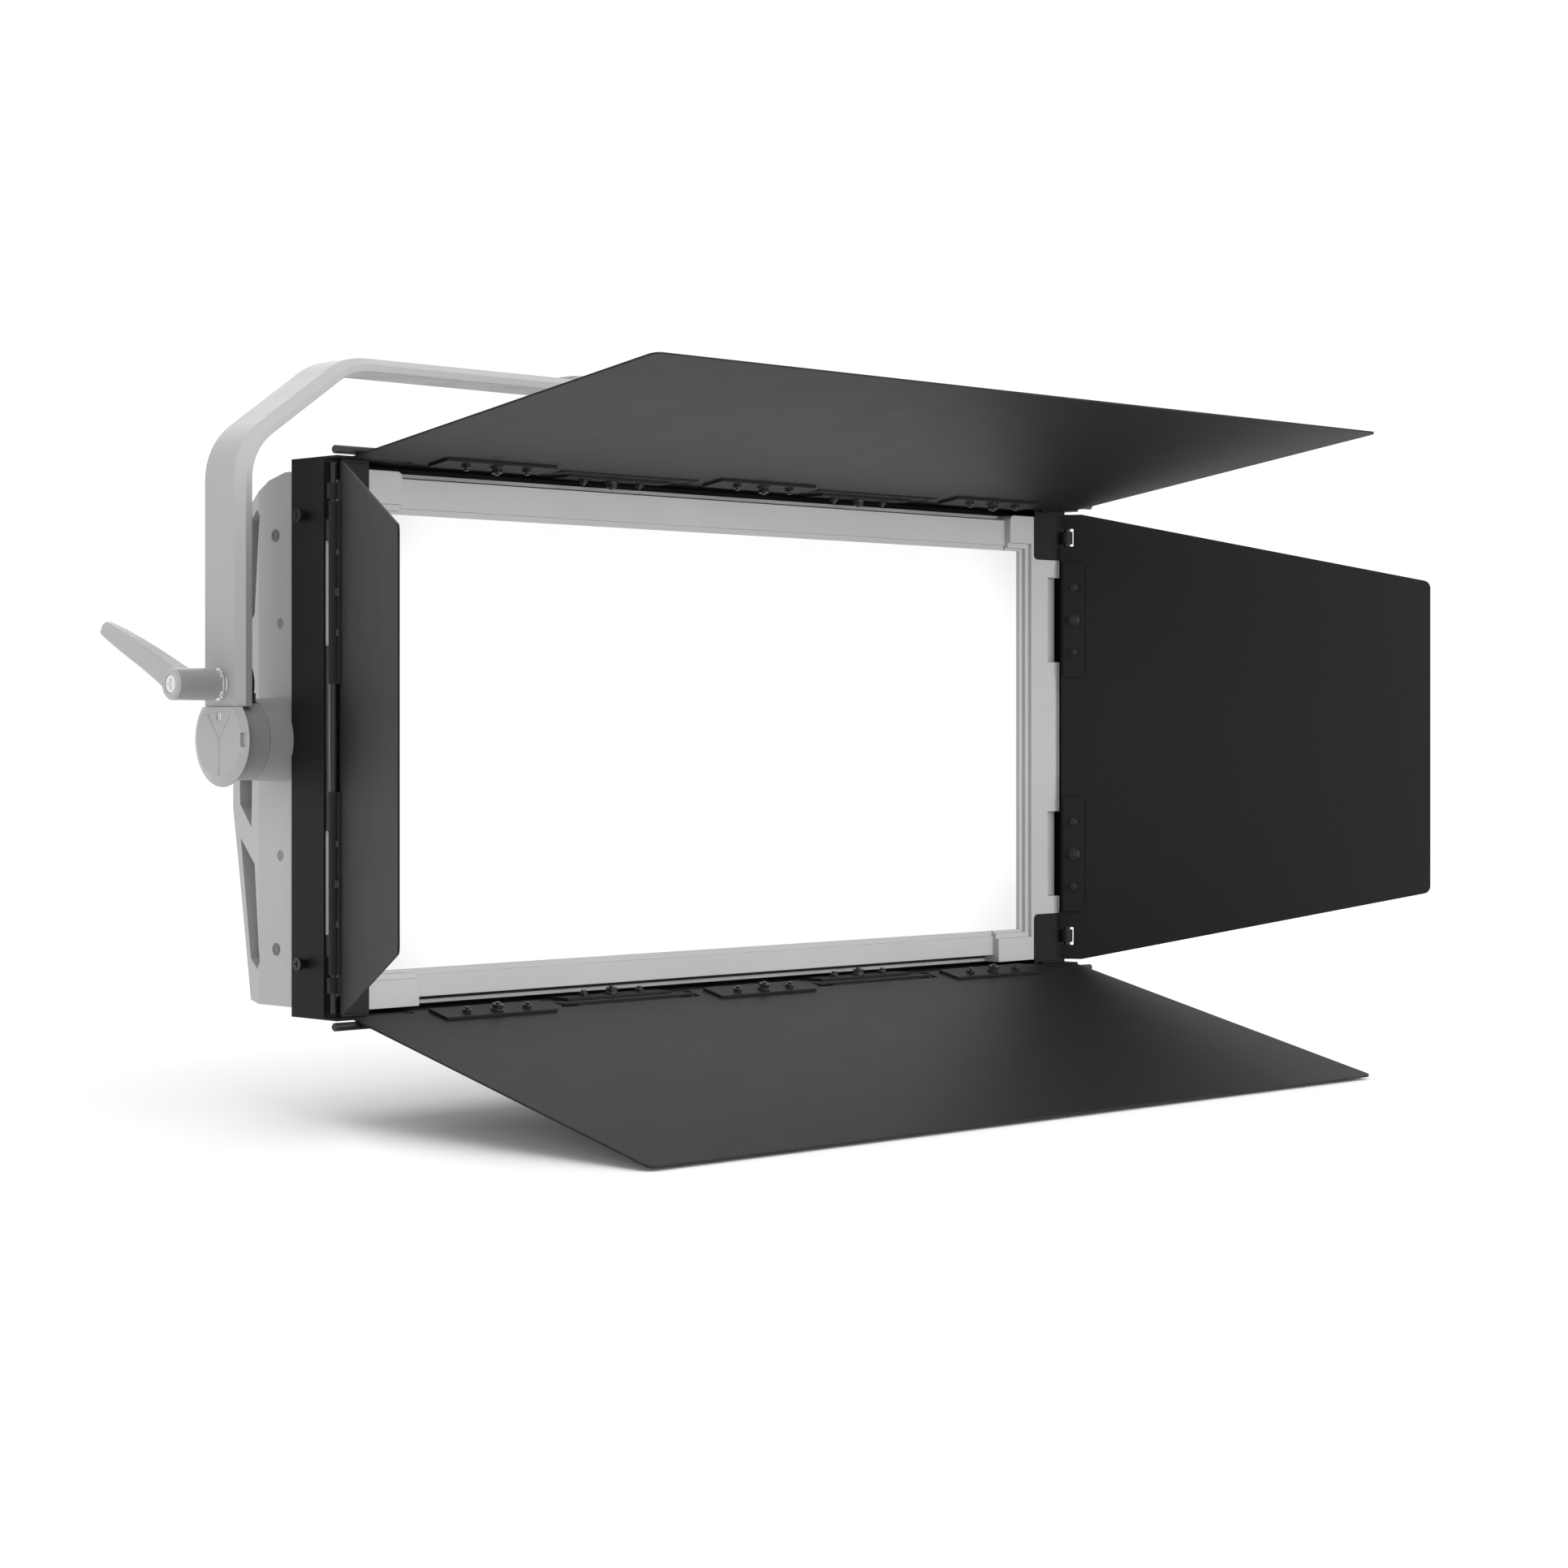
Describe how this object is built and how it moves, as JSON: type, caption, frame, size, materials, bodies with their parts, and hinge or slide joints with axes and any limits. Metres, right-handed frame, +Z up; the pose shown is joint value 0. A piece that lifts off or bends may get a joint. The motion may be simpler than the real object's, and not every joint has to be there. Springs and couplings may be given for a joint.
{
  "type": "led panel light",
  "caption": "Wide rectangular LED soft panel light in a bent yoke with a clamp lever, fitted with a black frame of hinged barn doors.",
  "frame": {"origin": "middle of the yoke's mounting plate, on its upper face, on the axis of the centre mounting hole", "axes": "+X along the light's width, to the right when facing the lit side; +Y from the lit side to the back; +Z up"},
  "size_m": [0.9922, 0.4552, 0.5087],
  "materials": {
    "yoke_grey": "satin light grey powder coat",
    "head_grey": "satin light grey powder coat",
    "sink_aluminium": "natural anodised",
    "bush_brass": "turned",
    "plain_steel": "turned and zinc plated",
    "bright_steel": "nickel plated",
    "friction_lining": "matt friction lining",
    "lever_grey": "satin grey powder coat",
    "diffuser_white": "opal acrylic",
    "board_white": "white solder mask",
    "tray_white": "white reflector film",
    "potted_black": "potted supply",
    "board_green": "green solder mask",
    "panel_black": "fine matt",
    "display_dark": "gloss window",
    "knob_black": "soft touch",
    "button_rubber": "matt",
    "door_black": "satin black powder coat",
    "black_steel": "black oxide"
  },
  "bodies": {
    "yoke": {"yoke_bar": "yoke_grey", "mount_plate": "yoke_grey", "pivot_bushes": "bush_brass", "end_cap_left": "yoke_grey", "end_cap_right": "yoke_grey", "end_cap_screws": "bright_steel", "clamp_washer": "bright_steel", "brake_shoe": "plain_steel"},
    "lever": {"clamp_lever": "lever_grey", "clamp_stud": "plain_steel", "lever_screw": "bright_steel"},
    "head": {"side_casting_left": "head_grey", "side_casting_right": "head_grey", "pivot_shafts": "plain_steel", "pivot_lock_nuts": "plain_steel", "friction_disc": "friction_lining", "housing_shell": "head_grey", "heat_sink": "sink_aluminium", "rear_cover": "head_grey", "led_board": "board_white", "mixing_tray": "tray_white", "diffuser": "diffuser_white", "bezel_top": "head_grey", "bezel_bottom": "head_grey", "bezel_left": "head_grey", "bezel_right": "head_grey", "power_supply": "potted_black", "control_board": "board_green", "control_panel": "panel_black", "display_window": "display_dark", "power_inlet": "panel_black", "data_connectors": "plain_steel", "side_screws": "bright_steel", "panel_screws": "bright_steel", "door_frame": "door_black", "corner_brackets": "door_black", "frame_hinge_clamps": "door_black", "frame_hinge_bolts": "black_steel", "frame_screws": "black_steel"},
    "knob": {"menu_knob": "knob_black"},
    "menu_button": {"button_menu": "button_rubber"},
    "up_button": {"button_up": "button_rubber"},
    "down_button": {"button_down": "button_rubber"},
    "switch_rocker": {"power_switch": "panel_black"},
    "top_door": {"door_top": "door_black", "hinge_rod_top": "black_steel", "hinge_clamps_top": "door_black", "hinge_bolts_top": "black_steel"},
    "bottom_door": {"door_bottom": "door_black", "hinge_rod_bottom": "black_steel", "hinge_clamps_bottom": "door_black", "hinge_bolts_bottom": "black_steel"},
    "left_door": {"door_left": "door_black", "hinge_rod_left": "black_steel", "hinge_clamps_left": "door_black", "hinge_bolts_left": "black_steel"},
    "right_door": {"door_right": "door_black", "hinge_rod_right": "black_steel", "hinge_clamps_right": "door_black", "hinge_bolts_right": "black_steel"}
  },
  "joints": [
    {"name": "head_tilt", "type": "hinge", "parent": "yoke", "child": "head", "pos_m": [0, 0, -0.2593], "axis": [1, 0, 0], "range_deg": [-15, 90]},
    {"name": "lever_turn", "type": "hinge", "parent": "yoke", "child": "lever", "pos_m": [-0.4055, 0, -0.2233], "axis": [1, 0, 0], "range_deg": [-90, 60]},
    {"name": "top_door_hinge", "type": "hinge", "parent": "head", "child": "top_door", "pos_m": [0, -0.0826, -0.0729], "axis": [1, 0, 0], "range_deg": [-60, 94]},
    {"name": "bottom_door_hinge", "type": "hinge", "parent": "head", "child": "bottom_door", "pos_m": [0, -0.0826, -0.4437], "axis": [1, 0, 0], "range_deg": [-101, 75]},
    {"name": "left_door_hinge", "type": "hinge", "parent": "head", "child": "left_door", "pos_m": [-0.364, -0.068, -0.2583], "axis": [0, 0, 1], "range_deg": [-52, 120.3]},
    {"name": "right_door_hinge", "type": "hinge", "parent": "head", "child": "right_door", "pos_m": [0.364, -0.068, -0.2583], "axis": [0, 0, 1], "range_deg": [-114.7, 57]},
    {"name": "knob_spin", "type": "hinge", "parent": "head", "child": "knob", "pos_m": [-0.045, 0.072, -0.2443], "axis": [0, 1, 0], "continuous": true},
    {"name": "switch_rock", "type": "hinge", "parent": "head", "child": "switch_rocker", "pos_m": [0.125, 0.069, -0.2443], "axis": [1, 0, 0], "range_deg": [-10, 0]},
    {"name": "menu_button_press", "type": "slide", "parent": "head", "child": "menu_button", "axis": [0, -1, 0], "range_m": [0, 0.0012], "stiffness_N_per_m": 400},
    {"name": "up_button_press", "type": "slide", "parent": "head", "child": "up_button", "axis": [0, -1, 0], "range_m": [0, 0.0012], "stiffness_N_per_m": 400},
    {"name": "down_button_press", "type": "slide", "parent": "head", "child": "down_button", "axis": [0, -1, 0], "range_m": [0, 0.0012], "stiffness_N_per_m": 400}
  ]
}
